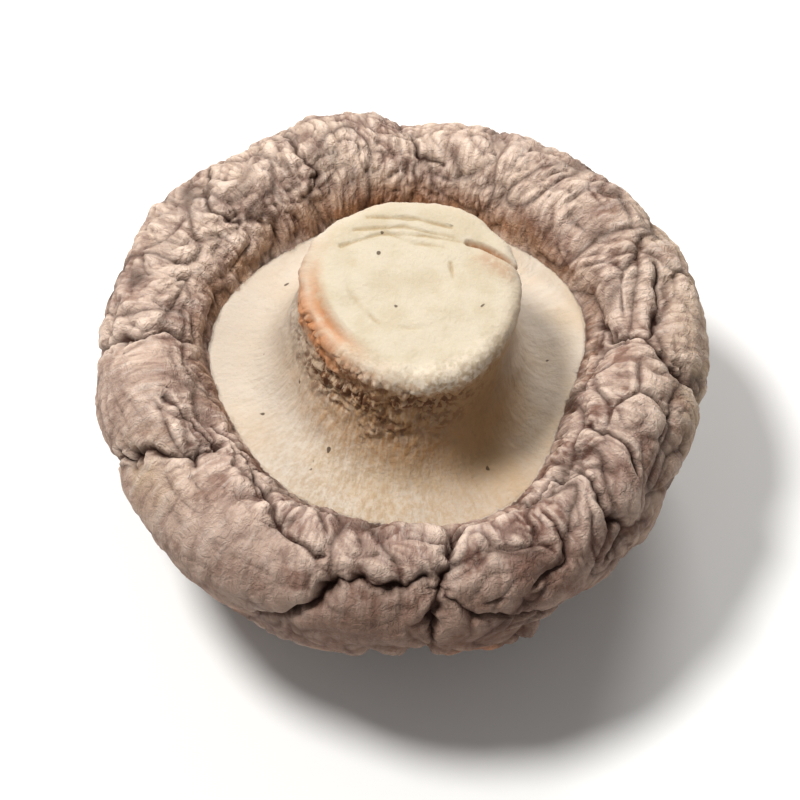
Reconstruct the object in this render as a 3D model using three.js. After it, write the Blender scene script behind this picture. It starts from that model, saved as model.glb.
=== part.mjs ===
// A dried shiitake mushroom, lying on its cap with the cut stem up.
// Cap, gills and stem grew as one piece, so they are one closed solid.
// Millimetres, +Z up. The origin is the middle of the flat patch on the crown that it rests on.
import * as THREE from "three";

// Cap
const CAP_ACROSS = 49; // mean width over the rolled rim
const CAP_DEPTH = 19.4; // from the crown to the top of the rim
const RIM_WIDTH = 9.9; // the rolled rim, from the opening to the outline
const RIM_DROP = 5.2; // from the top of the rim down to the widest line of the cap
const REST_ACROSS = 15; // flat patch on the crown

// Gills
const GILL_DROP = 4.3; // from the top of the rim down to the gill surface
const GILL_BAND = 2; // open gill surface between the stem's foot and the rim

// Stem
const STEM_ACROSS = 17.4; // mean width, just under the cut face
const STEM_RISE = 6.6; // from the top of the rim up to the cut face
const STEM_EDGE = 1.6; // rounding of the cut edge
const STEM_LEAN = { x: 0.9, y: 0.5 }; // how far the cut face lies off centre
const FLANK_PULL = 0.75; // share of the flank's height that stays upright before it flares
const FOOT_PULL = 0.6; // share of the flare that lies flat on the gills

// Each lobe set swells a ring: how many bumps, by what share of its radius, and where one points.
const OUTLINE_LOBES = [
  { bumps: 2, swell: 0.008, degrees: 4 },
  { bumps: 3, swell: 0.02, degrees: 25 },
  { bumps: 4, swell: 0.01, degrees: 30 },
];
const OPENING_LOBES = [
  { bumps: 3, swell: 0.036, degrees: 43 },
  { bumps: 4, swell: 0.014, degrees: 20 },
  { bumps: 5, swell: 0.024, degrees: 20 },
];
const STEM_LOBES = [
  { bumps: 2, swell: 0.026, degrees: -45 },
  { bumps: 3, swell: 0.028, degrees: 39 },
];

// Relief
const RIM_WAVE = 0.5; // how far the rim's top rises and falls around the cap
const RIM_WAVE_BUMPS = 5;
const RIM_WAVE_DEGREES = 49; // one of its rises points this way
const FURROWS = 9; // furrows that run from the crown towards the rim
const FURROW_DEPTH = 0.9;
const FURROW_SHARPNESS = 4; // 1 is a wide trough, and a higher power is narrower

// Fineness: steps around the cap, and along each stretch of the section
const SIDES = 64;
const STEPS = { crown: 2, dome: 9, rim: 10, gills: 1, flank: 7, edge: 2, cutFace: 3 };

const SKIN_COLOUR = 0x8f7b6c;
const SKIN_ROUGHNESS = 0.85;

const capRadius = CAP_ACROSS / 2;
const restRadius = REST_ACROSS / 2;
const stemRadius = STEM_ACROSS / 2;
const openingRadius = capRadius - RIM_WIDTH;
const footRadius = openingRadius - GILL_BAND;
const widestHeight = CAP_DEPTH - RIM_DROP;
const gillHeight = CAP_DEPTH - GILL_DROP;
const cutHeight = CAP_DEPTH + STEM_RISE;

const point = (radius, height) => new THREE.Vector2(radius, height);

// The points of a curve without its last one, which starts the next stretch.
function stretch(curve, steps) {
  return curve.getPoints(steps).slice(0, -1);
}

// The lower half of the section: out along the flat crown and up the dome to the widest line.
function domeSection() {
  const middle = new THREE.Vector2(restRadius, widestHeight);
  const reach = capRadius - restRadius;
  const crown = new THREE.LineCurve(point(0, 0), point(restRadius, 0));
  const dome = new THREE.EllipseCurve(middle.x, middle.y, reach, widestHeight, -Math.PI / 2, 0);
  return [...stretch(crown, STEPS.crown), ...stretch(dome, STEPS.dome)];
}

// The upper half: over the rolled rim, in across the gills, up the stem and over its cut face.
function upperSection() {
  const middle = openingRadius + RIM_WIDTH / 2;
  const rimFoot = Math.PI - Math.asin((gillHeight - widestHeight) / RIM_DROP);
  const foot = point(footRadius, gillHeight);
  const flankTop = point(stemRadius, cutHeight - STEM_EDGE);
  const cutEdge = point(stemRadius - STEM_EDGE, cutHeight);
  const flankPull = (flankTop.y - foot.y) * FLANK_PULL;
  const footPull = (footRadius - stemRadius) * FOOT_PULL;
  const rim = new THREE.EllipseCurve(middle, widestHeight, RIM_WIDTH / 2, RIM_DROP, 0, rimFoot);
  const gills = new THREE.LineCurve(rim.getPoint(1), foot);
  const flank = new THREE.CubicBezierCurve(
    foot,
    point(footRadius - footPull, gillHeight),
    point(stemRadius, flankTop.y - flankPull),
    flankTop,
  );
  const roundedEdge = new THREE.QuadraticBezierCurve(flankTop, point(stemRadius, cutHeight), cutEdge);
  const cutFace = new THREE.LineCurve(cutEdge, point(0, cutHeight));
  return [
    ...stretch(rim, STEPS.rim),
    ...stretch(gills, STEPS.gills),
    ...stretch(flank, STEPS.flank),
    ...stretch(roundedEdge, STEPS.edge),
    ...cutFace.getPoints(STEPS.cutFace),
  ];
}

const ramp = THREE.MathUtils.smoothstep;
const blend = THREE.MathUtils.lerp;

// From 1 to -1 and back, a number of times around the cap, with a rise in one direction.
function wave(bumps, degrees, angle) {
  return Math.cos(bumps * (angle - THREE.MathUtils.degToRad(degrees)));
}

// The share by which a lobe set swells its ring in one direction.
function swelling(lobes, angle) {
  const share = (lobe) => lobe.swell * wave(lobe.bumps, lobe.degrees, angle);
  return lobes.reduce((sum, lobe) => sum + share(lobe), 0);
}

// The upper side: oval stem set off centre, lobed opening, rim that rises and falls.
function shapeUpperSide(place, radius, angle) {
  const toOpening = ramp(radius, stemRadius, openingRadius);
  const toOutline = ramp(radius, openingRadius, capRadius);
  const stem = swelling(STEM_LOBES, angle);
  const opening = swelling(OPENING_LOBES, angle);
  const outline = swelling(OUTLINE_LOBES, angle);
  const swell = blend(blend(stem, opening, toOpening), outline, toOutline);
  place.x *= 1 + swell;
  place.y *= 1 + swell;
  const upTheStem = ramp(place.z, gillHeight, cutHeight) * (1 - toOpening);
  place.x += STEM_LEAN.x * upTheStem;
  place.y += STEM_LEAN.y * upTheStem;
  const acrossRim = THREE.MathUtils.clamp((radius - openingRadius) / RIM_WIDTH, 0, 1);
  const onRimTop = Math.sin(Math.PI * acrossRim);
  place.z += RIM_WAVE * onRimTop * wave(RIM_WAVE_BUMPS, RIM_WAVE_DEGREES, angle);
}

// The dome: the outline's lobes die out towards the crown, and furrows run between the two.
function shapeDome(place, radius, angle) {
  const outward = ramp(radius, restRadius, capRadius);
  const swell = swelling(OUTLINE_LOBES, angle) * outward;
  place.x *= 1 + swell;
  place.y *= 1 + swell;
  const between = Math.sin(Math.PI * outward);
  const furrow = Math.abs(Math.cos((FURROWS * angle) / 2)) ** FURROW_SHARPNESS;
  place.z += FURROW_DEPTH * furrow * between;
}

// The section turned about the axis, then each ring of it shaped by its side of the mushroom.
function mushroomGeometry() {
  const dome = domeSection();
  const section = [...dome, ...upperSection()];
  const geometry = new THREE.LatheGeometry(section, SIDES).rotateX(Math.PI / 2);
  const positions = geometry.getAttribute("position");
  const place = new THREE.Vector3();
  for (let i = 0; i < positions.count; i += 1) {
    place.fromBufferAttribute(positions, i);
    const radius = Math.hypot(place.x, place.y);
    const angle = Math.atan2(place.y, place.x);
    const onDome = i % section.length < dome.length;
    const shape = onDome ? shapeDome : shapeUpperSide;
    shape(place, radius, angle);
    positions.setXYZ(i, place.x, place.y, place.z);
  }
  geometry.computeVertexNormals();
  return geometry;
}

const skin = new THREE.MeshStandardMaterial({
  color: SKIN_COLOUR,
  roughness: SKIN_ROUGHNESS,
  metalness: 0,
});

const mushroom = new THREE.Mesh(mushroomGeometry(), skin);
mushroom.name = "mushroom";

const shiitake = new THREE.Group();
shiitake.add(mushroom);
export default shiitake;
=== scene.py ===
# %% [markdown]
# # A dried shiitake mushroom
# This lesson makes one whole dried shiitake, lying on its cap with the cut stem up. The real one grew as
# one piece, so it is one closed surface here too: crown, dome, rolled rim, gills, stem and cut face
# follow each other along one section, which is swept around the axis. What makes it look dried comes
# after that, because the skin shrank on the flesh and folded into cracks, cells and pleats.
#
# A sculptor would push such folds in by hand. Here each kind of fold is a formula, so that its size and
# place stay readable and any of them can be changed. Shapes are worked out in millimetres, and become
# metres when they go into the mesh.

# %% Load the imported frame
import itertools
import math

import bpy
import numpy as np
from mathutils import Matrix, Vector


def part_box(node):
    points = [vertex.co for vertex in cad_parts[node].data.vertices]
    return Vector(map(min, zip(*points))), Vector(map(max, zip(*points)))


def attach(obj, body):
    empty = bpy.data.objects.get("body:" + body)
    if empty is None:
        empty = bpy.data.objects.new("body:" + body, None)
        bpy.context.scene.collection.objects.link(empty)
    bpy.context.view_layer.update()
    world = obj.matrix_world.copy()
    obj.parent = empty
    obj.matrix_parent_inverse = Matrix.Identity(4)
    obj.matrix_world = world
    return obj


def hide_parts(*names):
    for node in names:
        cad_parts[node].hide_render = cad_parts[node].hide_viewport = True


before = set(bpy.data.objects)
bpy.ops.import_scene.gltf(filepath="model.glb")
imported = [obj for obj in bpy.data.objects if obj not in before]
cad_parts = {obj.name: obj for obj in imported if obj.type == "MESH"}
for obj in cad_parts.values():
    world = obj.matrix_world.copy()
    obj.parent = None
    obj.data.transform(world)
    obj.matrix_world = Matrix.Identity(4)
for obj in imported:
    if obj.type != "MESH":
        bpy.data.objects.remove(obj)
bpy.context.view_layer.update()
MM = 0.001
low, high = (np.array(corner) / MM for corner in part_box("mushroom"))
print("the frame's mushroom measures", np.round(high - low, 1), "mm")

# %% [markdown]
# ## Driving sizes
# The mushroom's own box gives its radius and its height. The rest are shares of those two: how wide the
# rolled rim is, how deep the gills lie under it, and how thick the stem is. Shares are used because the
# parts of a mushroom grow together, and the visual model has to follow the frame if that is resized.

# %% Sizes from the frame
height = high[2] - low[2]
cap_radius = (high - low)[:2].mean() / 2
rest_radius = 0.307 * cap_radius
rim_width = 0.405 * cap_radius
stem_radius = 0.356 * cap_radius
gill_band = 0.082 * cap_radius
lean_x = 0.037 * cap_radius
lean_y = 0.02 * cap_radius
cap_depth = 0.746 * height
rim_drop = 0.2 * height
gill_drop = 0.165 * height
stem_edge = 0.062 * height
opening_radius = cap_radius - rim_width
foot_radius = opening_radius - gill_band
widest_height = cap_depth - rim_drop
gill_height = cap_depth - gill_drop
print("cap radius", round(cap_radius, 1), "rim", round(rim_width, 1), "stem", round(stem_radius, 1))

# %% [markdown]
# ## The section
# Cut in half, the mushroom shows one line from the middle of the crown to the middle of the cut face. It
# could be a curve with handles, but named stretches are easier to talk about: each is an arc, a straight
# line or a Bezier curve, with as many steps as its surface needs. The rim gets most of them, because its
# skin is finest and nearest to the eye.

# %% Two kinds of curve
FINENESS = 1.0
COLUMNS = int(1120 * FINENESS)


def arc(middle, reach, start, end, steps):
    """Points on an ellipse: middle plus reach times cosine and sine of an even run of angles."""
    turn = np.radians(np.linspace(start, end, int(steps * FINENESS), endpoint=False))
    return np.stack([middle[0] + reach[0] * np.cos(turn), middle[1] + reach[1] * np.sin(turn)], 1)


def bend(points, steps):
    """A Bezier curve: its points weighted by the binomial powers of an even run from 0 to 1."""
    t = np.linspace(0, 1, int(steps * FINENESS), endpoint=False)[:, None]
    order = len(points) - 1
    weights = [math.comb(order, k) * t**k * (1 - t) ** (order - k) for k in range(order + 1)]
    return sum(weight * np.array(point) for weight, point in zip(weights, points))


print("steps around the mushroom", COLUMNS)

# %% [markdown]
# ## The stretches in their order
# The line starts in the middle of the crown, climbs the dome to the widest line, goes over the rolled rim
# and down its inner side, in across the gills, up the stem and over the cut face. Following it in this
# direction makes every face of the swept surface look outwards.

# %% Stretches of the section
rim_foot = 180 - math.degrees(math.asin((gill_height - widest_height) / rim_drop))
rim_middle = (opening_radius + rim_width / 2, widest_height)
flank_top = (stem_radius, height - stem_edge)
flank_curve = [
    (foot_radius, gill_height),
    (0.4 * foot_radius + 0.6 * stem_radius, gill_height),
    (stem_radius, 0.75 * gill_height + 0.25 * flank_top[1]),
    flank_top,
]
stretches = {
    "crown": bend([(0, 0), (rest_radius, 0)], 34),
    "dome": arc((rest_radius, widest_height), (cap_radius - rest_radius, widest_height), -90, 0, 130),
    "rim": arc(rim_middle, (rim_width / 2, rim_drop), 0, rim_foot, 160),
    "gills": bend([(opening_radius, gill_height), (foot_radius, gill_height)], 14),
    "flank": bend(flank_curve, 84),
    "edge": bend([flank_top, (stem_radius, height), (stem_radius - stem_edge, height)], 22),
    "cut face": bend([(stem_radius - stem_edge, height), (0, height)], 64),
}
section = np.concatenate([*stretches.values(), [[0, height]]])
starts = dict(zip(stretches, np.cumsum([0] + [len(part) for part in stretches.values()])))
print("section rows", len(section))

# %% [markdown]
# ## Sweeping it around
# A mushroom is never a true circle. Its outline, its opening and its stem each bulge in a few
# directions, so the sweep stretches the section by a small share that depends on the direction. Cosines
# are used for that, because they come back to where they started and so close the surface.

# %% Directions, ramps and waves
around = np.linspace(-np.pi, np.pi, COLUMNS, endpoint=False)[None, :]
radius = section[:, :1]
level = section[:, 1:]
row = np.arange(len(section))[:, None]


def ramp(value, start, end):
    """0 before start, 1 after end, and the smooth cubic 3t^2 - 2t^3 between them."""
    t = np.clip((value - start) / (end - start), 0, 1)
    return t * t * (3 - 2 * t)


def wave(bumps, degrees):
    """The cosine that rises bumps times around the axis, once of them in the given direction."""
    return np.cos(bumps * (around - math.radians(degrees)))


def turned(degrees):
    """The signed angle from a direction to each column, in radians, between minus and plus pi."""
    return (around - math.radians(degrees) + np.pi) % (2 * np.pi) - np.pi


def facing(degrees, spread):
    """1 in one direction, fading around the axis: e to the minus square of the angle over spread."""
    return np.exp(-((turned(degrees) / spread) ** 2))


print("grid of", len(section), "rows and", COLUMNS, "columns")

# %% [markdown]
# ## The plain mushroom
# Three rings have lobes of their own: the stem, the opening and the outline. Between two of them the
# lobes blend. On the dome they die out towards the crown. The stem leans a little as it rises, and the
# top of the rim rises and falls five times on its way around.

# %% The swept surface, before it dries
RIM_WAVE = 0.5  # mm
outline_lobes = 0.008 * wave(2, 4) + 0.02 * wave(3, 25) + 0.01 * wave(4, 30)
opening_lobes = 0.036 * wave(3, 43) + 0.014 * wave(4, 20) + 0.024 * wave(5, 20)
stem_lobes = 0.026 * wave(2, -45) + 0.028 * wave(3, 39)
to_opening = ramp(radius, stem_radius, opening_radius)
to_outline = ramp(radius, opening_radius, cap_radius)
is_dome = row < starts["rim"]
upper = stem_lobes * (1 - to_opening) + opening_lobes * to_opening * (1 - to_outline)
upper = upper + outline_lobes * to_outline
lower = outline_lobes * ramp(radius, rest_radius, cap_radius)
stretch = 1 + np.where(is_dome, lower, upper)
up_the_stem = ramp(level, gill_height, height) * (1 - to_opening) * ~is_dome
across_rim = np.clip((radius - opening_radius) / rim_width, 0, 1)
on_rim_top = np.sin(np.pi * across_rim) * ~is_dome
base = np.stack([
    radius * np.cos(around) * stretch + lean_x * up_the_stem,
    radius * np.sin(around) * stretch + lean_y * up_the_stem,
    level + RIM_WAVE * on_rim_top * wave(5, 49),
], axis=-1)
print("swept", base.shape)

# %% [markdown]
# ## Noise to fold with
# Gradient noise swells and sinks smoothly, and it is zero along wandering lines. Those lines are the
# creases of dried skin, and what lies between them puffs up into cushions. Blender has such textures of
# its own, but numpy gives the same numbers to the shape and to the colour. Chance enters only here, in
# tables drawn from a seed, so the mushroom comes out the same each time.

# %% Tables of chance
TABLE = 256


def tables(seed):
    """A shuffled run of numbers, random unit arrows and random points, the same for the same seed."""
    draw = np.random.default_rng(seed)
    arrows = draw.normal(size=(TABLE, 3))
    arrows /= np.linalg.norm(arrows, axis=1, keepdims=True)
    return draw.permutation(TABLE), arrows.astype(np.float32), draw.random((TABLE, 3)).astype(np.float32)


def numbered(order, cell):
    """One number from the table for each whole-numbered cell of space."""
    wrapped = cell % TABLE
    first = order[wrapped[..., 0]] + wrapped[..., 1]
    return order[(order[first % TABLE] + wrapped[..., 2]) % TABLE]


print("numbers in a table", TABLE)

# %% [markdown]
# ## Swells, cushions and creases
# Space is cut into unit cubes, and each corner of a cube leans it its own way. Between the corners the
# leans are blended, so the pattern never shows the cubes. Dividing a place by a length before it goes in
# makes the pattern that much larger.

# %% Gradient noise
CORNERS = list(itertools.product((0, 1), repeat=3))
NOISE_GAIN = 1.6


def swells(places, seed):
    """Gradient noise, about -1 to 1: each corner of a place's unit cube leans space along its own arrow,
    and the eight leans are blended by the quintic fade of the place's position in the cube."""
    order, arrows, _ = tables(seed)
    places = places.astype(np.float32)
    cell = np.floor(places).astype(np.int32)
    inside = places - cell
    fade = inside**3 * (inside * (inside * 6 - 15) + 10)
    total = np.zeros(places.shape[:-1], np.float32)
    for corner in CORNERS:
        offset = np.array(corner)
        weight = np.where(offset, fade, 1 - fade).prod(-1)
        lean_here = arrows[numbered(order, cell + offset)]
        total += weight * ((inside - offset) * lean_here).sum(-1)
    return total * NOISE_GAIN


def puffed(places, seed, tightness):
    """Cushions between creases: 1 less e to the minus tightness times the size of the noise, so it is 0
    along the noise's zero lines and levels off near 1 between them."""
    return 1 - np.exp(-tightness * np.abs(swells(places, seed)))


def crease_line(cushion, width):
    """1 in the crease between two cushions and 0 away from it: e to the minus cushion over width, to the
    power 1.5."""
    return np.exp(-((cushion / width) ** 1.5))


print("corners blended for each place", len(CORNERS))

# %% [markdown]
# ## Plates and bulges
# Thick skin also breaks into plates with straight sides. They come from random points: each place
# belongs to its nearest one, and a wall stands where the nearest and the second nearest are equally far.

# %% Cell walls
NEIGHBOURS = list(itertools.product((-1, 0, 1), repeat=3))
FAR = 9.0


def cell_gap(places, seed):
    """0 on the wall between two cells and about 1 in their middles: the distance to the second nearest
    random point less the distance to the nearest."""
    order, _, jitter = tables(seed)
    places = places.astype(np.float32)
    cell = np.floor(places).astype(np.int32)
    nearest = np.full(places.shape[:-1], FAR, np.float32)
    second = nearest.copy()
    for step in NEIGHBOURS:
        other = cell + np.array(step)
        gap = np.linalg.norm(other + jitter[numbered(order, other)] - places, axis=-1)
        second = np.minimum(second, np.maximum(nearest, gap))
        nearest = np.minimum(nearest, gap)
    return second - nearest


print("cells compared for each place", len(NEIGHBOURS))

# %% [markdown]
# ## A map of the skin
# Creases are easier to place on a flat map than in space. This one has two coordinates: the direction
# around the axis, in degrees, and the reach, which is how many millimetres the skin has run from the
# inner lip, over the rim and down the dome.

# %% Reach from the lip
run = np.concatenate([[0], np.cumsum(np.hypot(*np.diff(section, axis=0).T))])
lip_row = starts["gills"]
skin = slice(0, lip_row)
skin_place = base[skin]
skin_reach = (run[lip_row] - run)[skin, None]
widest_reach = run[lip_row] - run[starts["rim"]]
skin_radius = np.hypot(skin_place[..., 0], skin_place[..., 1])
print("from lip to widest", round(widest_reach, 1), "mm, to the crown", round(float(skin_reach[0, 0]), 1))

# %% [markdown]
# ## Spots and streaks on the map
# Two ways to use the map. A spot marks a round patch, for a lobe or a colour. Streaks stretch a pattern
# so that it runs across the rim or around it, because shrinking skin folds across the pull.

# %% Spots and streaks
def spot(degrees, middle, size):
    """A round patch on the skin that fades outwards: e to the minus square of distance over size."""
    across = turned(degrees) * np.maximum(skin_radius, 1)
    return np.exp(-(across**2 + (skin_reach - middle) ** 2) / size**2)


def spots(places):
    """The sum of several spots, each times the first number of its row."""
    return sum(share * spot(*where) for share, *where in places)


def streaks(width, length, ring):
    """Places for a pattern that is drawn out along the reach: width is measured around the ring of the
    given radius, and length along the reach."""
    turns = ring / width
    level_ring = np.stack([turns * np.cos(around), turns * np.sin(around)], -1)
    level_ring = np.broadcast_to(level_ring, (*skin_place.shape[:2], 2))
    along = np.broadcast_to(skin_reach / length, skin_place.shape[:2])
    return np.concatenate([level_ring, along[..., None]], -1)


print("places on the map", skin_place.shape[:2])

# %% [markdown]
# ## Lobes of the rim
# Before its fine wrinkles, the rim has a large form: a high lobe and a lower one at the back with a notch
# between them, and full cushions on the near side where the skin stayed smooth.

# %% Lobes and calm cushions
LOBES = [  # rise mm, degrees, reach mm, size mm
    (0.9, 103, 9, 5.5),
    (0.5, 74, 9, 5),
    (-0.8, 87.5, 10, 2),
    (0.5, -166, 9, 4),
    (0.45, -127, 13, 4.5),
    (0.4, -66, 9, 3.5),
]
CALM_PLACES = [  # share, degrees, reach mm, size mm
    (1, -168, 9, 4.2),
    (0.8, -170, 14, 4),
    (1, -147, 12.5, 3),
    (0.6, -140, 16, 4),
    (0.9, -135, 11, 4),
    (0.8, -126, 9, 2.6),
    (1, -122, 12.5, 4.2),
    (0.8, -97, 14, 4),
    (0.6, 8, 12, 4.5),
    (0.5, 60, 13, 5),
]
lobes = spots(LOBES)
calm = np.clip(spots(CALM_PLACES), 0, 1)
print("lobes rise", round(float(lobes.max()), 2), "mm, calm share", round(float(calm.mean()), 2))

# %% [markdown]
# ## The main cracks
# A few cracks are so long and deep that they give this mushroom its face. Noise would put them anywhere,
# so they are drawn one by one: each is a short list of directions and reaches, with its own width and
# depth.

# %% Cracks drawn one by one
CRACKS = [  # width mm, depth mm, [(degrees, reach mm), ...]
    (0.26, 0.9, [(176, 15), (179, 9), (178, 6.8), (177, 4.4), (176, 2.1)]),
    (0.28, 1.1, [(-164, 18), (-156, 12.5), (-153, 9.8), (-149, 8.4), (-145, 6.7), (-147, 4.7)]),
    (0.22, 0.5, [(-147, 4.7), (-152, 5.4), (-158, 6.3), (-163, 6.8)]),
    (0.24, 0.8, [(-153, 3.9), (-142, 2.3), (-127, 4.4), (-118, 7.2), (-113, 8), (-106, 8.3)]),
    (0.32, 1.3, [(-118, 17), (-109, 14), (-106, 11.8), (-103, 10.1), (-98, 9.8), (-92, 10.4), (-84, 9)]),
    (0.34, 1.4, [(-85, 19), (-84, 12.2), (-82, 9.9), (-80, 7.8), (-76, 4.1), (-76, 2.2)]),
    (0.26, 1.0, [(-76, 4.1), (-70, 3), (-62, 2.6), (-54, 2.8), (-47, 3.2)]),
    (0.28, 0.8, [(-81, 10.7), (-77, 12.4), (-73, 13.9), (-67, 15.3), (-58, 17)]),
    (0.22, 0.6, [(-54, 5.9), (-54, 7.8), (-54, 10), (-57, 11.4), (-63, 11.9)]),
    (0.26, 0.9, [(2, 6.7), (5, 3.1), (14, 1.3)]),
    (0.26, 0.8, [(20, 8.6), (12, 8.4), (2, 6.8), (-3, 9.1), (-6, 12), (-8, 15)]),
    (0.2, 0.5, [(90, 13), (89, 9), (86, 6.3), (80, 5.1)]),
    (0.22, 0.7, [(114, 11.5), (115, 8), (113, 5.7), (114, 3.9)]),
    (0.22, 0.6, [(128, 12), (136, 9.4), (141, 7), (138, 4.7)]),
    (0.26, 0.8, [(-47, 3.2), (-45, 4.5), (-41, 6.3), (-42, 8.5), (-44, 10.6), (-42, 13.5), (-46, 15)]),
    (0.24, 0.7, [(-29, 4.1), (-29, 6.1), (-29, 8.1), (-32, 10.8)]),
]
print("drawn", len(CRACKS), "cracks")

# %% [markdown]
# ## From a line to a crack
# To cut along a line, each place on the skin needs its distance to that line. The lines wander a little
# from where they were drawn, and their depth comes and goes, so that no crack looks ruled.

# %% Distance to a line
FAR_MM = 99.0


def distance_to(line, astray):
    """Millimetres from each point of the skin to a line of (degrees, reach) points, measured on the
    unrolled skin, after astray has moved the skin sideways and along."""
    nearest = np.full(skin_place.shape[:2], FAR_MM)
    scale = np.maximum(skin_radius, 1)
    for (angle, start), (next_angle, end) in zip(line, line[1:]):
        across = turned(angle) * scale + astray[0]
        along = skin_reach - start + astray[1]
        turn = math.radians((next_angle - angle + 180) % 360 - 180)
        step_across = turn * scale
        step_along = end - start
        share = (across * step_across + along * step_along) / (step_across**2 + step_along**2)
        share = np.clip(share, 0, 1)
        gap = np.hypot(across - share * step_across, along - share * step_along)
        nearest = np.minimum(nearest, gap)
    return nearest


print("longest crack has", max(len(line) for _, _, line in CRACKS), "points")

# %% [markdown]
# ## Slit and dip
# About two thirds of a crack's depth is a slit with steep sides, and the rest is the dip around it, which
# makes the skin beside it look full.

# %% Cut the cracks
SLIT_SHARE = 0.62
STEEPNESS = 1.5
DIP_WIDTH = 1.3  # mm
wander = [0.6 * swells(skin_place / 2.4, seed) for seed in (5, 7)]
wander = [slow + 0.3 * swells(skin_place / 0.9, seed) for slow, seed in zip(wander, (6, 8))]
unevenness = 1 + 0.6 * swells(skin_place / 1.7, 9)
cracks = np.zeros(skin_place.shape[:2])
near_crack = np.zeros(skin_place.shape[:2])
for width, depth, line in CRACKS:
    gap = distance_to(line, wander)
    slit = np.exp(-((gap / (width * unevenness)) ** STEEPNESS))
    dip = np.exp(-gap / DIP_WIDTH)
    cracks = np.minimum(cracks, -depth * unevenness * (SLIT_SHARE * slit + (1 - SLIT_SHARE) * dip))
    near_crack = np.maximum(near_crack, slit)
print("deepest crack", round(float(cracks.min()), 2), "mm")

# %% [markdown]
# ## Where the skin wrinkles
# The rest of the relief is made of layers, and no layer is equally strong everywhere. The inner lip is
# pleated, the back of the rim is granular, and the calm cushions keep only soft folds. These masks say
# where each layer goes. Every place is also led astray by a drift of slow noise, because folds never
# follow a grid.

# %% Where each layer is strong
drift = np.stack([swells(skin_place / 5, seed) for seed in (11, 12, 13)], -1)
loose = skin_place + 1.4 * drift
on_dome = ramp(skin_reach, widest_reach, widest_reach + 6) + 0 * around
at_lip = 1 - ramp(skin_reach, 1, 4.5)
at_back = facing(105, 1.25) * (1 - on_dome)
patchy = ramp(swells(skin_place / 4.5, 14), -0.3, 0.35)
rough = 1 - 0.7 * calm
print("rough share", round(float(rough.mean()), 2), "share at the back", round(float(at_back.mean()), 2))

# %% [markdown]
# ## The layers of wrinkles
# Each layer is a pattern of cushions with creases between them. A pattern in plain space gives cushions as
# long as they are wide. A pattern on streaks gives long folds: across the rim when the length is larger,
# and around it when the width is. The divisor of each is about the width of one cushion, in millimetres.

# %% Layers of wrinkles
lumps = 0.5 * swells(loose / 8, 21) + 0.35 * swells(loose / 4, 22)
large = puffed(loose / 5.2, 23, 3.5)
middling = puffed(loose / 2.7, 24, 3)
ridges = puffed(loose / 1.7, 26, 3)
small = puffed(streaks(1.7, 2.6, cap_radius) + 1.4 * drift, 27, 3)
tiny = puffed(streaks(0.75, 2.2, cap_radius) + 0.9 * drift, 28, 3)
pleats = puffed(streaks(1.7, 5, opening_radius) + 0.5 * drift, 25, 3)
soft_folds = puffed(streaks(8, 1.9, cap_radius) + 0.5 * drift, 63, 3)
grain = swells(skin_place / 0.42, 29)
plates = cell_gap(loose / 4.6 + 0.16 * drift[..., ::-1], 61)
plate_edge = np.exp(-((plates / 0.1) ** 1.3)) * ramp(swells(skin_place / 3, 62), -0.35, 0.25)
print("share on a plate's edge", round(float(plate_edge.mean()), 3))

# %% [markdown]
# ## Adding the layers up
# Each layer moves the skin by its rise times its pattern, counted from the pattern's middle height, so
# that it adds as much as it takes away. The plates only take away: their edges are creases.

# %% Relief of the rim
MIDDLE = 0.7  # middle height of most patterns of cushions
LAYERS = [  # rise mm, middle height, pattern, where it is strong
    (0.7, 0.8, large, (1 - 0.85 * calm) * (1 - 0.6 * at_lip) * (1 - 0.6 * at_back)),
    (0.38, MIDDLE, middling, rough * (0.4 + 0.6 * patchy)),
    (0.24, MIDDLE, soft_folds, calm),
    (0.4, MIDDLE, ridges, at_back * (1 - at_lip)),
    (0.45, MIDDLE, pleats, at_lip),
    (0.2, MIDDLE, small, rough * (1.1 - 0.5 * patchy) * (1.3 - 0.6 * large)),
    (0.09, MIDDLE, tiny, 1.2 - 0.6 * middling + at_back),
]
PLATE_DEPTH = 0.5  # mm
GRAIN_RISE = 0.02  # mm
plated = plate_edge * (1 - 0.9 * calm) * (1 - at_lip)
relief = 0.8 * lumps + lobes - PLATE_DEPTH * plated * (1 - 0.6 * at_back) + GRAIN_RISE * grain
for rise, middle_height, pattern, where in LAYERS:
    relief = relief + rise * (pattern - middle_height) * where
print("wrinkles reach", round(float(relief.min()), 2), "to", round(float(relief.max()), 2), "mm")

# %% [markdown]
# ## Creases as lines
# The finish paints the creases dark, partly their own darker colour and partly painted shade, so it needs
# them too. They are thinner than the dips in the relief, and each layer's creases are as dark as the layer
# is deep.

# %% Crease lines
LINES = [  # darkness, width, pattern, where it is strong
    (1.0, 0.24, large, 1 - 0.7 * calm),
    (0.7, 0.18, middling, rough * (0.4 + 0.6 * patchy)),
    (0.45, 0.22, small, rough),
    (0.5, 0.22, ridges, at_back),
    (0.45, 0.2, soft_folds, calm),
    (0.55, 0.2, tiny, at_back),
    (0.6, 0.24, pleats, at_lip),
]
wrinkle_lines = 0.8 * plated
for darkness, width, pattern, where in LINES:
    wrinkle_lines = np.maximum(wrinkle_lines, darkness * crease_line(pattern, width) * where)
print("share in a crease", round(float(wrinkle_lines.mean()), 2))

# %% [markdown]
# ## The dome
# On the crown the skin gathered towards a hub that lies off centre, so the folds there follow the
# direction and the distance from the hub, not from the axis. Near the hub they part into full bulges, and
# towards the rim into narrower ones. The mushroom rests on the highest of them.

# %% Folds around the hub
HUB = np.array([2.5, -3.0])  # mm
BULGE_RISE = 1.3  # mm
from_hub = skin_place[..., :2] - HUB
hub_angle = np.arctan2(from_hub[..., 1], from_hub[..., 0]) + 0.4 * swells(skin_place / 9, 31)
hub_reach = np.hypot(from_hub[..., 0], from_hub[..., 1]) + 0.9 * swells(skin_place / 5, 32)


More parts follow.
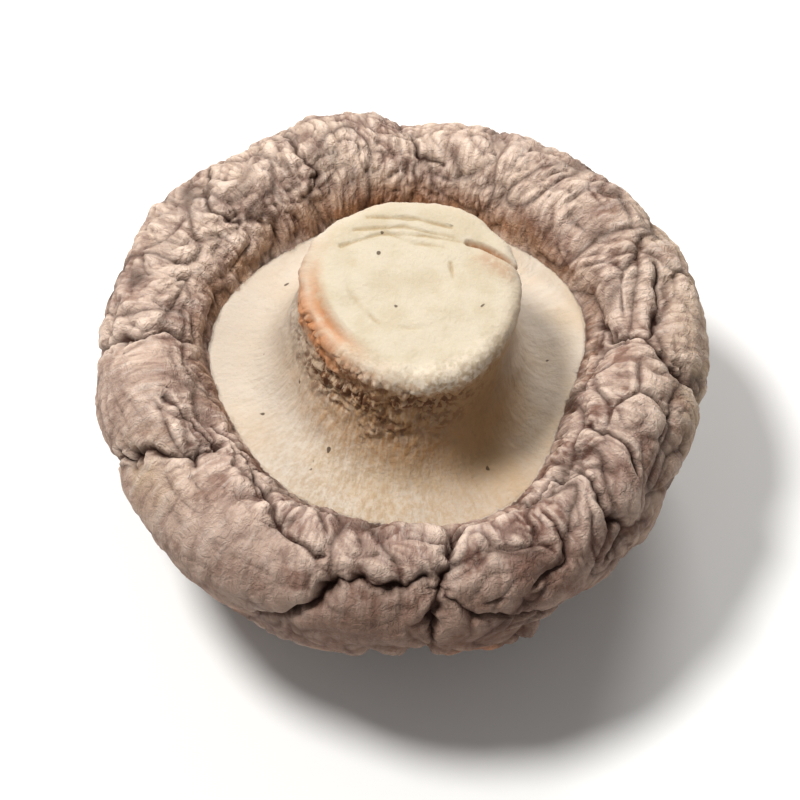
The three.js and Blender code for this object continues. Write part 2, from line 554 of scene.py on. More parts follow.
def gathered(turns, length, seed, width):
    """Folds drawn out along the distance from the hub: cells whose walls are e to the minus gap over
    width, with turns setting how many there are around it."""
    spread = np.stack([turns * np.cos(hub_angle), turns * np.sin(hub_angle), hub_reach / length], -1)
    return np.exp(-cell_gap(spread, seed) / width)


big_walls = gathered(1.7, 12, 33, 0.13)
big_slopes = gathered(1.7, 12, 33, 0.5)
narrow_walls = gathered(3.4, 7, 34, 0.15)
near_rim = 0.25 + 0.75 * ramp(hub_reach, 10, 18)
dome_relief = BULGE_RISE - 1.7 * big_walls - 1.2 * big_slopes - (1.1 * narrow_walls + 0.3) * near_rim
dome_relief = dome_relief + 0.6 * swells(loose / 7, 36) + GRAIN_RISE * grain
for rise, pattern in ((0.3, middling), (0.2, small), (0.1, tiny)):
    dome_relief = dome_relief + rise * (pattern - MIDDLE)
print("dome folds reach", round(float(dome_relief.min()), 2), "mm")

# %% [markdown]
# ## One skin from lip to crown
# The rim's relief turns into the dome's below the widest line. On the near outer side the real skin is
# nearly smooth, so the relief is weaker there, and only the cracks keep their depth. At the inner lip the
# skin thins out, and its relief fades with it.

# %% Join rim and dome
outer_side = np.exp(-(((skin_reach - widest_reach - 1) / 4) ** 2)) * facing(-100, 1.7)
relief = relief * (1 - on_dome) + dome_relief * on_dome
relief = relief * (1 - 0.55 * outer_side) + cracks
relief = relief * (0.45 + 0.55 * ramp(skin_reach, 0, 1.1))
print("skin relief", round(float(relief.min()), 2), "to", round(float(relief.max()), 2), "mm")

# %% [markdown]
# ## Gills and stem
# The flesh is smoother than the skin. The stem pinches in a little under its cut edge. Below that edge its
# near side is scaly, its left side is stained, and its right near side is fuzzy. Fine fibres run from it
# out over the gills. First come the masks for these places.

# %% Places on the flesh
flesh = slice(lip_row, len(section))
flesh_place = base[flesh]
flesh_level = level[flesh]
flesh_radius = radius[flesh]
face_x = flesh_place[..., 0]
face_y = flesh_place[..., 1]
under_cut = (height - flesh_level) / (height - gill_height)
on_face = ramp(row[flesh], starts["edge"], starts["cut face"]) + 0 * around
on_flank = ramp(flesh_level, gill_height + 0.2, gill_height + 3) * (1 - on_face)
near_side = facing(-100, 1.0)
stained_side = facing(-160, 0.6)


def band(value, start, end, soft):
    """1 between start and end, falling to 0 over the soft width outside them."""
    return ramp(value, start - soft, start) * (1 - ramp(value, end, end + soft))


blotches = 0.6 + 0.7 * swells(flesh_place / 2.0, 43) + 0.4 * swells(flesh_place / 0.8, 51)
scaly = ramp(under_cut, 0.03, 0.14) * (1 - ramp(under_cut, 0.35, 0.85)) * facing(-118, 0.95)
scaly = np.clip(scaly * blotches * 2.0, 0, 1)
fuzz = band(under_cut, 0.0, 0.1, 0.12) * facing(-75, 0.8)
fuzz = fuzz * (1 - on_face * (1 - ramp(flesh_radius, 6.6, 7.6)))
bevel = stained_side * ramp(flesh_radius, 6.4, 7.6) * on_face
print("scaly share", round(float(scaly.mean()), 3), "fuzzy share", round(float(fuzz.mean()), 3))

# %% [markdown]
# ## Relief of the flesh
# Fibres are noise on a tight ring around the axis, drawn out along the section, so that they run outwards
# everywhere. Scales are small cushions, and the fuzz is two sizes of gradient noise. A band under the cut
# takes the stem in, and on the stained side the cut edge is worn off.

# %% Relief of the flesh
FIBRE_TURNS = 30
FIBRE_LENGTH = 4  # mm
fibre_place = np.stack([
    FIBRE_TURNS * np.cos(around) + 0 * flesh_level,
    FIBRE_TURNS * np.sin(around) + 0 * flesh_level,
    (flesh_radius - flesh_level) / FIBRE_LENGTH + 0 * around,
], -1)
fibres = swells(fibre_place, 41) + 0.6 * swells(fibre_place * 2, 42)
off_face = 1 - on_face
FLESH_LAYERS = [  # rise mm, pattern, where it is strong
    (0.04, fibres, off_face),
    (0.2, swells(flesh_place / 3.2, 44), 1 - 0.5 * on_face),
    (-0.3, band(under_cut, 0.4, 0.5, 0.32), off_face),
    (-0.9, bevel, 1),
    (0.14, swells(flesh_place / 1.1, 45), on_flank),
    (0.05, swells(flesh_place / 0.6, 47), near_side * off_face),
    (1, 0.55 * puffed(flesh_place / 0.75, 46, 3) - 0.25, scaly),
    (0.25, swells(flesh_place / 1.6, 53), scaly),
    (0.08, swells(flesh_place / 0.5, 48), fuzz),
    (0.25, swells(flesh_place / 1.8, 52), fuzz),
]
flesh_relief = sum(rise * pattern * where for rise, pattern, where in FLESH_LAYERS)
print("flesh relief", round(float(flesh_relief.min()), 2), "to", round(float(flesh_relief.max()), 2), "mm")

# %% [markdown]
# ## Marks on the cut face
# The cut face keeps part of a shallow ring, a few lines where the knife dragged, and a slit that opens at
# its edge under a small flap. The lines are drawn in millimetres, as the cracks were.

# %% Strokes on the cut face
KNIFE_LINES = [  # x and y, mm
    [(-4.6, 4.2), (-1.5, 5.3), (2.0, 5.2), (5.8, 4.3)],
    [(-3.6, 5.7), (0.2, 6.0), (4.2, 5.0)],
    [(-2.6, 6.9), (1.4, 6.7), (4.0, 5.9)],
    [(-1.2, 5.5), (1.2, 4.4), (3.4, 4.1)],
    [(3.9, 2.6), (4.1, 1.2)],
]
SLIT_LINE = [(5.3, 4.5), (6.3, 4.2), (7.6, 3.4), (9.3, 2.4)]
FLAP_LINE = [(6.6, 2.9), (8.4, 1.6)]


def stroke(points):
    """Millimetres on the cut face from each place to a line through the given x and y points."""
    nearest = np.full(face_x.shape, FAR_MM)
    for (x, y), (next_x, next_y) in zip(points, points[1:]):
        step = (next_x - x, next_y - y)
        share = ((face_x - x) * step[0] + (face_y - y) * step[1]) / (step[0] ** 2 + step[1] ** 2)
        share = np.clip(share, 0, 1)
        nearest = np.minimum(nearest, np.hypot(face_x - x - share * step[0], face_y - y - share * step[1]))
    return nearest + 0.12 * swells(flesh_place / 1.3, 50)


def groove(distance, width):
    """1 on a line and 0 away from it: e to the minus square of the distance over the width."""
    return np.exp(-((distance / width) ** 2))


print("knife lines", len(KNIFE_LINES))

# %% Marks on the cut face
RING_MIDDLE = (1.0, 1.5)  # mm
RING_RADIUS = 4.9
ring = np.hypot(face_x - RING_MIDDLE[0], face_y - RING_MIDDLE[1]) - RING_RADIUS
ring = ring + 0.5 * swells(flesh_place / 3, 49)
ring_part = groove(ring, 0.22) * facing(-128, 0.85) * ramp(swells(flesh_place / 1.6, 55), -0.7, 0.3)
knife = np.min([stroke(line) for line in KNIFE_LINES], axis=0)
knife_part = groove(knife, 0.14) * ramp(swells(flesh_place / 2.5, 54), -0.8, 0.3)
slit = groove(stroke(SLIT_LINE), 0.2) * (1 - ramp(under_cut, 0.12, 0.3))
flap = groove(stroke(FLAP_LINE), 0.8) * on_face
flesh_relief = flesh_relief - on_face * (0.2 * ring_part + 0.13 * knife_part)
flesh_relief = flesh_relief - slit * 0.7 * (on_face + 0.6 * on_flank) + 0.2 * flap
flesh_relief = flesh_relief * ramp(run[flesh][:, None] - run[lip_row], 0, 0.8)
print("share on a mark", round(float(np.maximum(knife_part, ring_part).mean()), 4))

# %% [markdown]
# ## Pushing the surface out
# Each point moves along the surface's own normal by the relief. A Displace modifier would do that with a
# texture, but here the relief is already an array. The normal is the cross product of the two ways along
# the grid, smoothed a little so that the surface doesn't fold over itself where it bends sharply.

# %% Running means and normals
TINY = 1e-12


def softened(field, rows, columns):
    """A running mean over a window of rows and columns, taken as a difference of running sums; it wraps
    around the columns."""
    for size, axis in ((rows, 0), (columns, 1)):
        half = max(int(size * FINENESS) // 2, 1)
        pad = [(half, half) if a == axis else (0, 0) for a in range(field.ndim)]
        padded = np.pad(field, pad, mode="edge" if axis == 0 else "wrap")
        total = np.insert(np.cumsum(padded, axis=axis, dtype=np.float64), 0, 0, axis=axis)
        width = 2 * half + 1
        length = field.shape[axis]
        ends = [np.take(total, range(start, start + length), axis=axis) for start in (width, 0)]
        field = (ends[0] - ends[1]) / width
    return field


def outward(surface):
    """Unit normals of a grid: the way around crossed with the way along the section."""
    ahead = np.roll(surface, -1, axis=1) - np.roll(surface, 1, axis=1)
    along = np.gradient(surface, axis=0)
    normal = np.cross(ahead, along)
    normal[0] = (0, 0, -1)
    normal[-1] = (0, 0, 1)
    length = np.linalg.norm(normal, axis=-1, keepdims=True)
    return normal / np.maximum(length, TINY)


normals = softened(outward(base), 5, 3)
print("normals", normals.shape)

# %% Displace along the normal
whole_relief = np.concatenate([relief, flesh_relief])
whole_relief[0] = whole_relief[0].mean()
whole_relief[-1] = whole_relief[-1].mean()
shaped = base + normals * whole_relief[..., None]
shaped[..., 2] -= shaped[..., 2].min()
print("shaped size", np.round(np.ptp(shaped.reshape(-1, 3), axis=0), 2), "mm")

# %% [markdown]
# ## From grid to mesh
# A grid becomes a closed mesh in three kinds of faces: quads between its rings, and a fan of triangles at
# each pole, where a whole row of the grid is one point. The corners are written so that every face looks
# outwards.

# %% Corners of the faces
def face_corners(rows, columns):
    """The vertex numbers of all faces in a row, and how many corners each face has. Vertex 0 is the first
    pole, then come the rings, and the last vertex is the other pole."""
    ring = np.arange(columns)
    following = np.roll(ring, -1)
    first = 1 + columns * np.arange(rows - 3)[:, None]
    beyond = first + columns
    quads = np.stack([first + ring, first + following, beyond + following, beyond + ring], -1)
    top = 1 + columns * (rows - 3)
    pole = np.full(columns, top + columns)
    under_fan = np.stack([0 * ring, 1 + following, 1 + ring], -1)
    upper_fan = np.stack([top + ring, top + following, pole], -1)
    corners = np.concatenate([quads.ravel(), under_fan.ravel(), upper_fan.ravel()])
    return corners, np.concatenate([np.full(quads.size // 4, 4), np.full(2 * columns, 3)])


print("faces to make", len(face_corners(*shaped.shape[:2])[1]))

# %% [markdown]
# ## Filling the mesh
# A Blender mesh is three lists: the vertices, the corners of all faces in a row, and where each face
# starts among them. `foreach_set` fills a list from a whole array at once, which is much faster than
# adding faces one by one.

# %% Make the mesh
def closed_mesh(name, grid):
    """One vertex for the first row and one for the last, a ring of vertices for each row between,
    quads between rings and a fan of triangles at each end."""
    vertices = np.concatenate([grid[:1, 0], grid[1:-1].reshape(-1, 3), grid[-1:, 0]]) * MM
    corners, sides = face_corners(*grid.shape[:2])
    mesh = bpy.data.meshes.new(name)
    mesh.vertices.add(len(vertices))
    mesh.vertices.foreach_set("co", vertices.astype(np.float32).ravel())
    mesh.loops.add(len(corners))
    mesh.loops.foreach_set("vertex_index", corners.astype(np.int32))
    mesh.polygons.add(len(sides))
    mesh.polygons.foreach_set("loop_start", (np.cumsum(sides) - sides).astype(np.int32))
    mesh.polygons.foreach_set("use_smooth", np.ones(len(sides), bool))
    mesh.update(calc_edges=True)
    mesh.validate()
    return mesh


mesh = closed_mesh("whole_mushroom", shaped)
print("vertices", len(mesh.vertices), "faces", len(mesh.polygons))

# %% [markdown]
# ## Notes for the finish
# The finish needs to know more than the shape: how deep in a crease a point lies, how proud it stands,
# and which part it belongs to. It could be painted by hand, but the relief already knows it, so these
# notes are stored with the mesh as attributes, one number for each point.

# %% Storing a note
def paint(name, field):
    """Stores a grid field as a point attribute, with one value for each end row."""
    values = np.concatenate([[field[0].mean()], field[1:-1].ravel(), [field[-1].mean()]])
    layer = mesh.attributes.new(name, "FLOAT", "POINT")
    layer.data.foreach_set("value", values.astype(np.float32))


def paint_way(name, field):
    """Stores a grid of places as a point attribute of three numbers."""
    values = np.concatenate([field[:1, 0], field[1:-1].reshape(-1, 3), field[-1:, 0]])
    layer = mesh.attributes.new(name, "FLOAT_VECTOR", "POINT")
    layer.data.foreach_set("vector", values.astype(np.float32).ravel())


def over_skin(field):
    """A field of the skin, with 0 on the flesh."""
    return np.concatenate([field + 0 * relief, np.zeros(flesh_relief.shape)])


def over_flesh(field):
    """A field of the flesh, with 0 on the skin."""
    return np.concatenate([np.zeros(relief.shape), field + 0 * flesh_relief])


print("places on the skin", relief.size, "and on the flesh", flesh_relief.size)

# %% [markdown]
# ## Creases and proud places
# A point is sunk when it lies lower than the mean of the relief around it, and proud when it lies higher.
# A small window finds fine folds, and a large one finds broad ones. The crack and crease lines are added,
# as they are sharper than any mean.

# %% Notes on every place
fine_sunk = softened(whole_relief, 9, 7) - whole_relief
broad_sunk = softened(whole_relief, 29, 21) - whole_relief
crease = np.maximum(0.8 * ramp(fine_sunk, 0.03, 0.16), ramp(broad_sunk, 0.15, 0.6))
crease = np.maximum(crease, over_skin(np.maximum(near_crack, 0.8 * wrinkle_lines)))
paint("crease", crease)
paint("proud", np.maximum(0.7 * ramp(-fine_sunk, 0.01, 0.08), ramp(-broad_sunk, 0.06, 0.32)))
paint("flesh", ramp(run[:, None] - run[lip_row], -0.25, 0.1) + 0 * whole_relief)
print("share in a crease", round(float(crease.mean()), 2))

# %% [markdown]
# ## Places with a colour of their own, or with painted light and shade
# The skin is orange-brown on the inner lip, partly its own colour and partly painted shade under the rim.
# It is painted paler at the back as painted light, darker on the near outer side as painted shade, and tan
# where the dark outer skin wore off. The flesh is brown and scaly under the cut and stained on the left. A
# painted shadow darkens the right near side, where the stem stands over the gills, and painted shade their
# left side.

# %% Notes on the skin
TAN_PLACES = [  # share, degrees, reach mm, size mm
    (1, -6, 16, 6),
    (0.7, 24, 15, 6),
    (0.7, -150, 12, 3.2),
    (0.5, -32, 18, 5),
]
# the lip colour is partly the skin's own orange-brown and partly painted shade under the rolled rim
paint("lip", over_skin(at_lip * (0.15 + 0.85 * facing(110, 1.5))))
paint("far_lip", over_skin(at_lip * facing(88, 0.75) * ramp(skin_reach, 0.3, 1.2)))
paint("calm", over_skin(calm))
# painted shade: the near outer side of the rim is coloured darker, where less light falls
paint("near_painted_shade", over_skin(facing(-80, 1.1) * ramp(skin_reach, 4, 13)))
# painted light: the far rim at the back is coloured paler, as if more light fell on it
paint("back_painted_light", over_skin(at_back * (1 - at_lip)))
paint("tan", over_skin(np.clip(spots(TAN_PLACES), 0, 1)))
paint("dome", over_skin(on_dome))
print("tan places", len(TAN_PLACES))

# %% Notes on the flesh
side_stain = stained_side * band(under_cut, 0.03, 0.26, 0.1) * off_face
# painted shadow: the gills and flank at the right near side, where the stem stands over them, are coloured
# darker
painted_stem_shadow = facing(-50, 0.66) * (0.55 + 0.45 * ramp(flesh_radius, 14, 9.5))
paint("flank", over_flesh(on_flank))
paint("face", over_flesh(on_face))
paint("scaly", over_flesh(scaly))
paint("fuzz", over_flesh(fuzz))
paint("stain", over_flesh(np.maximum(side_stain, bevel)))
paint("shaded", over_flesh(painted_stem_shadow * off_face))
# painted shade: the left side of the gills is coloured darker and greyer
paint("left_painted_shade", over_flesh(facing(170, 0.8) * off_face))
paint("near", over_flesh(near_side * off_face))
paint("marks", over_flesh(on_face * (0.5 * ring_part + 0.7 * knife_part)))
paint("slit", over_flesh(np.clip(slit + 0.5 * flap, 0, 1)))
print("notes:", ", ".join(layer.name for layer in mesh.attributes if not layer.name.startswith(".")))

# %% [markdown]
# ## A way along the section
# Threads of colour run from the crown over the rim, and out from the stem over the gills. They are noise
# in places of their own: around a ring of one size, and along the section, where a thread is several
# millimetres long. So each point also carries those three numbers.

# %% Way of the threads
SKIN_THREAD = 6  # times as long as wide
FLESH_THREAD = 2.4
thread_run = np.where(run < run[lip_row], run / SKIN_THREAD, run / FLESH_THREAD)
ring_place = opening_radius * np.stack([np.cos(around), np.sin(around)], -1)
ring_place = np.broadcast_to(ring_place, (*whole_relief.shape, 2))
run_place = np.broadcast_to(thread_run[:, None, None], (*whole_relief.shape, 1))
paint_way("way", np.concatenate([ring_place, run_place], -1))
print("longest way", round(float(thread_run.max()), 1))

# %% [markdown]
# ## Small helpers for the material
# A shader is a tree of nodes. Wiring it by hand in code is long, so these helpers each add one node and
# give back its output, and the finish below reads like arithmetic.

# %% Nodes
material = bpy.data.materials.new("dried_mushroom")
material.use_nodes = True
tree = material.node_tree
tree.nodes.clear()


def new_node(kind, inputs=None, **settings):
    """Adds a node, sets its own settings, then its inputs: a value, or a socket to link."""
    made = tree.nodes.new(kind)
    for key, value in settings.items():
        setattr(made, key, value)
    for key, value in (inputs or {}).items():
        if isinstance(value, bpy.types.NodeSocket):
            tree.links.new(value, made.inputs[key])
        else:
            made.inputs[key].default_value = value
    return made


print("material", material.name)

# %% [markdown]
# ## Patterns in the material
# The notes and the patterns are the material's senses. A pattern's size is given in millimetres, and
# `span` picks the part of its range that matters, because a noise seldom comes near 0 or 1.

# %% Patterns
place = new_node("ShaderNodeTexCoord").outputs["Object"]


def note(name):
    """The mesh attribute of that name."""
    return new_node("ShaderNodeAttribute", attribute_name=name).outputs["Fac"]


def thread_noise(width_mm):
    """Noise drawn out along the section, from the crown to the cut face, in threads width_mm wide."""
    way = new_node("ShaderNodeAttribute", attribute_name="way").outputs["Vector"]
    inputs = {"Vector": way, "Scale": 1 / width_mm, "Detail": 3.0, "Roughness": 0.6, "Distortion": 0.3}
    return new_node("ShaderNodeTexNoise", inputs).outputs["Fac"]


def noise(size_mm, detail=3.0, roughness=0.55, distortion=0.0):
    """Noise whose features are size_mm wide."""
    inputs = {"Vector": place, "Scale": 1 / (size_mm * MM), "Detail": detail}
    inputs.update({"Roughness": roughness, "Distortion": distortion})
    return new_node("ShaderNodeTexNoise", inputs).outputs["Fac"]


def span(value, start, end, low=0.0, high=1.0):
    """A value brought from start..end to low..high, smoothly and no further."""
    inputs = {"Value": value, "From Min": start, "From Max": end, "To Min": low, "To Max": high}
    return new_node("ShaderNodeMapRange", inputs, interpolation_type="SMOOTHSTEP").outputs["Result"]


def patches(size_mm, detail, start, end, low=0.0, high=1.0):
    """Noise size_mm wide, brought from start..end to low..high."""
    return span(noise(size_mm, detail), start, end, low, high)


threads = thread_noise(0.45)
print("nodes so far", len(tree.nodes))

# %% [markdown]
# ## Arithmetic and colour
# Math nodes multiply and add patterns, and Mix nodes lay one colour over another. A material is built here
# as a painter builds a glaze: a ground colour first, then coat after coat, each with a share that says
# where it takes.

# %% Arithmetic and colour
def worked(operation, a, b=0.0):
    """The result of one Math node."""
    return new_node("ShaderNodeMath", {0: a, 1: b}, operation=operation).outputs[0]


def times(a, b):
    """One value times another."""
    return worked("MULTIPLY", a, b)


def plus(a, b):
    """One value plus another."""
    return worked("ADD", a, b)


def less(a, b):
    """One value less another."""
    return worked("SUBTRACT", a, b)


def blend(share, a, b):
    """A colour that share of the way from a to b."""
    inputs = {"Factor": share, 6: a, 7: b}
    return new_node("ShaderNodeMix", inputs, data_type="RGBA").outputs[2]


def coated(ground, coats):
    """The ground colour under a list of coats, each a share and a colour, laid on in their order."""
    for share, coat in coats:
        ground = blend(share, ground, coat)
    return ground


def colour(red, green, blue):
    """A colour given as it is seen on a screen, 0 to 255, as the linear value that the shader needs."""
    share = np.array([red, green, blue]) / 255
    linear = np.where(share <= 0.04045, share / 12.92, ((share + 0.055) / 1.055) ** 2.4)
    return (*linear, 1.0)


print("mid grey is", round(float(colour(128, 128, 128)[0]), 3), "in linear light")

# %% [markdown]
# ## Colour of the skin
# Dried skin is not one brown. It is taupe with rosy and tan patches, and paler where it stands proud,
# partly from wear and partly as a painted highlight. It is painted paler at the back as painted light and
# darker on the near outer side as painted shade. It is orange-brown on the inner lip, there partly painted
# shade under the rim, and nearly black in the creases, partly its own colour and partly painted shade.
# Below what the mesh can carry there are still finer lines, where a fine noise is at its middle value.

# %% Skin colours
TAUPE = colour(146, 117, 104)
PALE_TAUPE = colour(188, 164, 148)
ROSY_BROWN = colour(120, 86, 73)
SMOOTH_TAUPE = colour(184, 160, 143)
# painted light that makes the far rim at the back paler
BACK_PAINTED_LIGHT = colour(212, 187, 166)
TAN = colour(192, 168, 135)
SILVER_STREAK = colour(214, 196, 182)
# paler colour on proud places: partly wear, partly a painted highlight
PROUD_WEAR_AND_HIGHLIGHT = colour(222, 200, 182)
# inner lip brown: partly the skin's own colour, partly painted shade under the rim
LIP_BROWN = colour(168, 132, 98)
FAR_LIP_BROWN = colour(146, 96, 60)
# painted shade for the near outer side of the rim
NEAR_PAINTED_SHADE = colour(112, 82, 66)
DOME_ORANGE = colour(176, 122, 88)
FINE_LINE = colour(92, 66, 54)
DARK_STREAK = colour(104, 76, 64)
# dark colour in the skin's creases: partly their own darker colour, partly painted shade
CREASE_PIGMENT_AND_SHADE = colour(50, 24, 12)
fine_lines = worked("ABSOLUTE", less(noise(0.9, 2, 0.6, 0.6), 0.5))
finer_lines = worked("ABSOLUTE", less(noise(0.45, 2, 0.6, 0.4), 0.5))
dome_patches = times(note("dome"), patches(9, 2, 0.5, 0.68))
tint = coated(blend(patches(6, 3, 0.38, 0.62), TAUPE, PALE_TAUPE), [
    (patches(2.6, 3, 0.48, 0.62), ROSY_BROWN),
    (times(note("calm"), 0.5), SMOOTH_TAUPE),
    (times(note("back_painted_light"), patches(3, 2, 0.4, 0.6, 0.3, 0.85)), BACK_PAINTED_LIGHT),
    (times(note("tan"), patches(2, 3, 0.35, 0.6, 0.3, 0.9)), TAN),
    (span(threads, 0.5, 0.68, 0.0, 0.42), SILVER_STREAK),
    (times(note("proud"), 0.7), PROUD_WEAR_AND_HIGHLIGHT),
    (times(note("lip"), patches(2.5, 2, 0.35, 0.65, 0.1, 0.75)), LIP_BROWN),
    (times(note("far_lip"), patches(1.6, 3, 0.3, 0.6, 0.3, 0.9)), FAR_LIP_BROWN),
    (times(note("near_painted_shade"), 0.75), NEAR_PAINTED_SHADE),
    (times(dome_patches, 0.6), DOME_ORANGE),
    (span(fine_lines, 0.0, 0.03, 0.15, 0.0), FINE_LINE),
    (span(threads, 0.34, 0.48, 0.42, 0.0), DARK_STREAK),
    (note("crease"), CREASE_PIGMENT_AND_SHADE),
])
print("nodes with the skin", len(tree.nodes))

# %% [markdown]
# ## Colour of the flesh
# The gills and the stem are cream, and the cut face a little greyer. The stem's near side is scaly and
# brown under the cut, one side of it is stained orange, and dark specks lie here and there. Fine threads
# run outwards over the gills, because the gills themselves are packed that closely. A painted shadow of
# the stem darkens the gills at the right near side, painted shade darkens their left side, and the folds
# are darkened, partly their own colour and partly painted shade.

# %% Flesh colours
CREAM = colour(205, 192, 176)
WARM_CREAM = colour(198, 180, 157)
THREAD_TAN = colour(176, 150, 118)
CUT_GREY = colour(188, 176, 154)
CUT_CREAM = colour(180, 166, 141)
# painted shadow of the stem on the gills
PAINTED_SHADOW_OCHRE = colour(132, 102, 64)
MOTTLED_TAN = colour(168, 138, 100)
# painted shade for the left side of the gills
LEFT_PAINTED_SHADE = colour(174, 160, 144)
FLANK_OCHRE = colour(164, 124, 80)
SCALE_BROWN = colour(96, 60, 36)
FUZZ_WHITE = colour(208, 194, 174)
STAIN_ORANGE = colour(180, 122, 80)
MARK_OLIVE = colour(146, 124, 84)
SLIT_BROWN = colour(150, 98, 54)
# darker colour in the folds of the flesh: partly their own colour, partly painted shade
FOLD_PIGMENT_AND_SHADE = colour(150, 114, 80)
SPECK_BROWN = colour(62, 44, 30)
mottled = span(plus(noise(0.4, 4, 0.65), times(threads, 0.8)), 0.7, 1.1, 0.0, 0.6)
streaky = times(note("flank"), span(threads, 0.4, 0.62, 0.45, 0.8))
cut_tone = blend(patches(2.5, 4, 0.4, 0.65), CUT_GREY, CUT_CREAM)
flesh_tint = coated(blend(patches(4, 3, 0.35, 0.7), CREAM, WARM_CREAM), [
    (span(threads, 0.46, 0.72, 0.0, 0.12), THREAD_TAN),
    (times(note("face"), 0.95), cut_tone),
    (times(note("shaded"), 0.9), PAINTED_SHADOW_OCHRE),
    (times(note("near"), mottled), MOTTLED_TAN),
    (times(note("left_painted_shade"), 0.8), LEFT_PAINTED_SHADE),
    (times(streaky, plus(note("near"), 0.12)), FLANK_OCHRE),
    (times(note("scaly"), patches(0.55, 3, 0.44, 0.56, 0.15, 1.0)), SCALE_BROWN),
    (times(note("fuzz"), patches(0.5, 3, 0.4, 0.6, 0.2, 0.85)), FUZZ_WHITE),
    (times(note("stain"), patches(1.2, 3, 0.35, 0.55, 0.5, 1.0)), STAIN_ORANGE),
    (note("marks"), MARK_OLIVE),
    (times(note("slit"), patches(0.7, 3, 0.35, 0.55, 0.4, 1.0)), SLIT_BROWN),
    (times(note("crease"), 0.4), FOLD_PIGMENT_AND_SHADE),
    (span(noise(1.0, 1, 0.3), 0.77, 0.8, 0.0, 0.85), SPECK_BROWN),
])
print("nodes with the flesh", len(tree.nodes))

# %% [markdown]
# ## The finish
# Skin and flesh meet along a ragged line at the lip. Both are dry and matt, so the roughness is high and
# the specular level low, and a little light passes under the surface of the flesh. A bump adds the grain
# and the lines that are finer than the mesh.

# %% Height of the bump
BUMP_DEPTH = 0.00016  # m
ragged = plus(note("flesh"), times(less(noise(0.5, 3), 0.5), 0.9))
is_flesh = span(ragged, 0.4, 0.6)
skin_bump = plus(times(span(fine_lines, 0.0, 0.14), 0.5), times(span(finer_lines, 0.0, 0.14), 0.25))
skin_bump = plus(skin_bump, times(threads, 1.6))
soft_threads = times(threads, less(1.0, times(note("face"), 0.8)))
flesh_bump = plus(times(noise(0.35, 3), 0.8), times(soft_threads, 0.6))
bump_height = plus(times(flesh_bump, is_flesh), times(skin_bump, less(1.0, is_flesh)))
bump = new_node("ShaderNodeBump", {"Height": bump_height, "Strength": 0.7, "Distance": BUMP_DEPTH})
print("bump depth", BUMP_DEPTH / MM, "mm")

# %% Skin and flesh together
shader = new_node("ShaderNodeBsdfPrincipled", {
    "Base Color": blend(is_flesh, tint, flesh_tint),
    "Roughness": patches(1.5, 3, 0.3, 0.7, 0.7, 0.9),
    "Normal": bump.outputs["Normal"],
    "Subsurface Weight": 0.08,
    "Subsurface Radius": (1.0, 0.6, 0.35),
    "Subsurface Scale": 0.0006,
    "Specular IOR Level": 0.3,
})
new_node("ShaderNodeOutputMaterial", {"Surface": shader.outputs[0]})
print("nodes in the finish", len(tree.nodes))

# %% [markdown]
# ## The finished piece
# The grid is finer than it needs to be on smooth stretches. A Decimate modifier thins it where it is flat
# and keeps the triangles that the creases need. Then the piece takes the place of the plain solid in the
# frame and moves with it.

# %% The piece
TRIANGLES = 198000
mesh.materials.append(material)
mushroom = bpy.data.objects.new("whole_mushroom", mesh)
bpy.context.scene.collection.objects.link(mushroom)
thin = mushroom.modifiers.new("thin_flat_stretches", "DECIMATE")
thin.ratio = min(1.0, TRIANGLES / (2 * len(mesh.polygons)))
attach(mushroom, "root")
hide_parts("mushroom")
print("kept share of triangles", round(thin.ratio, 3))

# %% [markdown]
# ## A place to look at it
# The floor is one plain pale square, wide enough to fill the view from any side. It is staging, and not
# part of the mushroom.

# %% Floor
HALF_FLOOR = 3.0
floor_corners = [(-1, -1), (1, -1), (1, 1), (-1, 1)]
floor_mesh = bpy.data.meshes.new("floor")
floor_mesh.from_pydata([(x * HALF_FLOOR, y * HALF_FLOOR, 0) for x, y in floor_corners], [], [(0, 1, 2, 3)])
floor = bpy.data.objects.new("floor", floor_mesh)
bpy.context.scene.collection.objects.link(floor)
pale = bpy.data.materials.new("pale_floor")
pale.use_nodes = True
pale_shader = pale.node_tree.nodes["Principled BSDF"]
pale_shader.inputs["Base Color"].default_value = (0.78, 0.77, 0.75, 1)
pale_shader.inputs["Roughness"].default_value = 0.9
floor_mesh.materials.append(pale)
print("floor", 2 * HALF_FLOOR, "m wide")

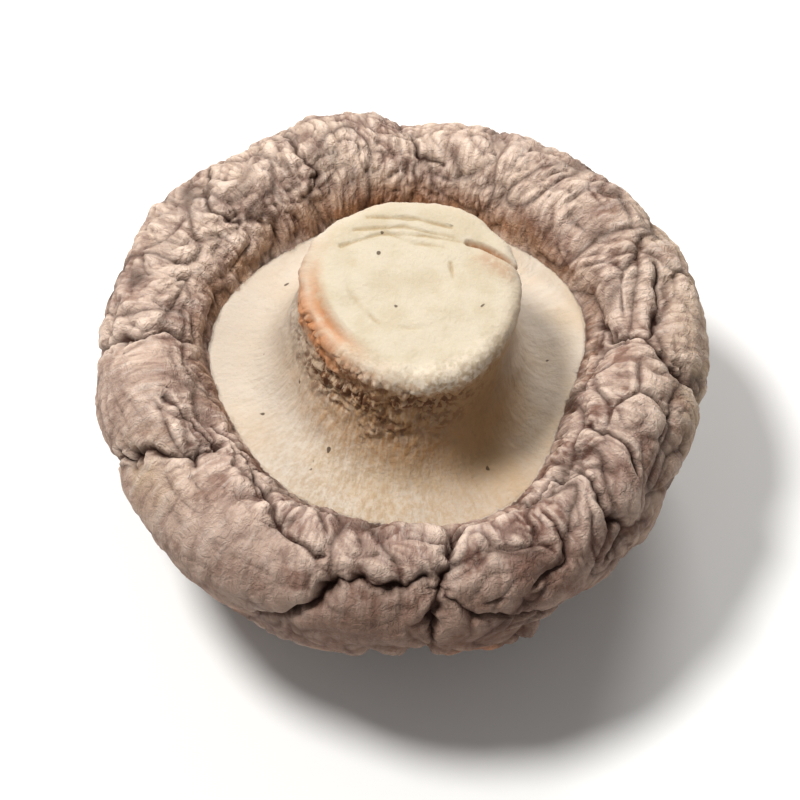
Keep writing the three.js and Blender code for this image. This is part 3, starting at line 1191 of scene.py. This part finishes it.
# %% [markdown]
# ## Lights
# Wrinkles show only where light comes from one side, so the key light stands high on the left and a
# little behind. A broad fill keeps the shade soft, and a weak light from the back right draws the far rim
# off the floor. An even white world stands for the walls of a bright room.

# %% Lights
WORLD_LIGHT = 0.24


def soft_light(name, place, size, power, aim=(0, 0, 0.012)):
    """A round lamp at a place, turned to face the aim."""
    lamp = bpy.data.lights.new(name, "AREA")
    lamp.shape = "DISK"
    lamp.size = size
    lamp.energy = power
    holder = bpy.data.objects.new(name, lamp)
    holder.location = place
    holder.rotation_euler = (Vector(aim) - Vector(place)).to_track_quat("-Z", "Y").to_euler()
    bpy.context.scene.collection.objects.link(holder)


soft_light("key", (-0.2, 0.06, 0.46), 0.13, 3.0)
soft_light("fill", (0.2, -0.38, 0.3), 0.4, 0.2)
soft_light("back", (0.1, 0.34, 0.32), 0.2, 1.2)
world = bpy.data.worlds.new("studio")
world.use_nodes = True
background = world.node_tree.nodes["Background"]
background.inputs["Color"].default_value = (1, 1, 1, 1)
background.inputs["Strength"].default_value = WORLD_LIGHT
bpy.context.scene.world = world
bpy.context.scene.view_settings.view_transform = "Standard"
print("lamps", len(bpy.data.lights))

# %% [markdown]
# ## Camera
# The camera looks down at 58 degrees, so that the rim, the gills, the near side of the stem and its cut
# face all show. A long lens from further away keeps the far rim as large as the near one.

# %% Camera
ELEVATION = math.radians(58)
LENS = 200.0  # mm
SENSOR = 36.0  # mm
SHARE = 0.76  # of the view's width that the cap fills
AIM_SHARE = 0.43  # of the mushroom's height
distance = float(2 * cap_radius * MM / SHARE * LENS / SENSOR)
aim = Vector((0, 0, AIM_SHARE * height * MM))
camera_data = bpy.data.cameras.new("camera")
camera_data.lens = LENS
camera_data.sensor_width = SENSOR
camera = bpy.data.objects.new("camera", camera_data)
camera.location = aim + distance * Vector((0, -math.cos(ELEVATION), math.sin(ELEVATION)))
camera.rotation_euler = (aim - camera.location).to_track_quat("-Z", "Y").to_euler()
bpy.context.scene.collection.objects.link(camera)
bpy.context.scene.camera = camera
print("camera", round(distance, 3), "m away")
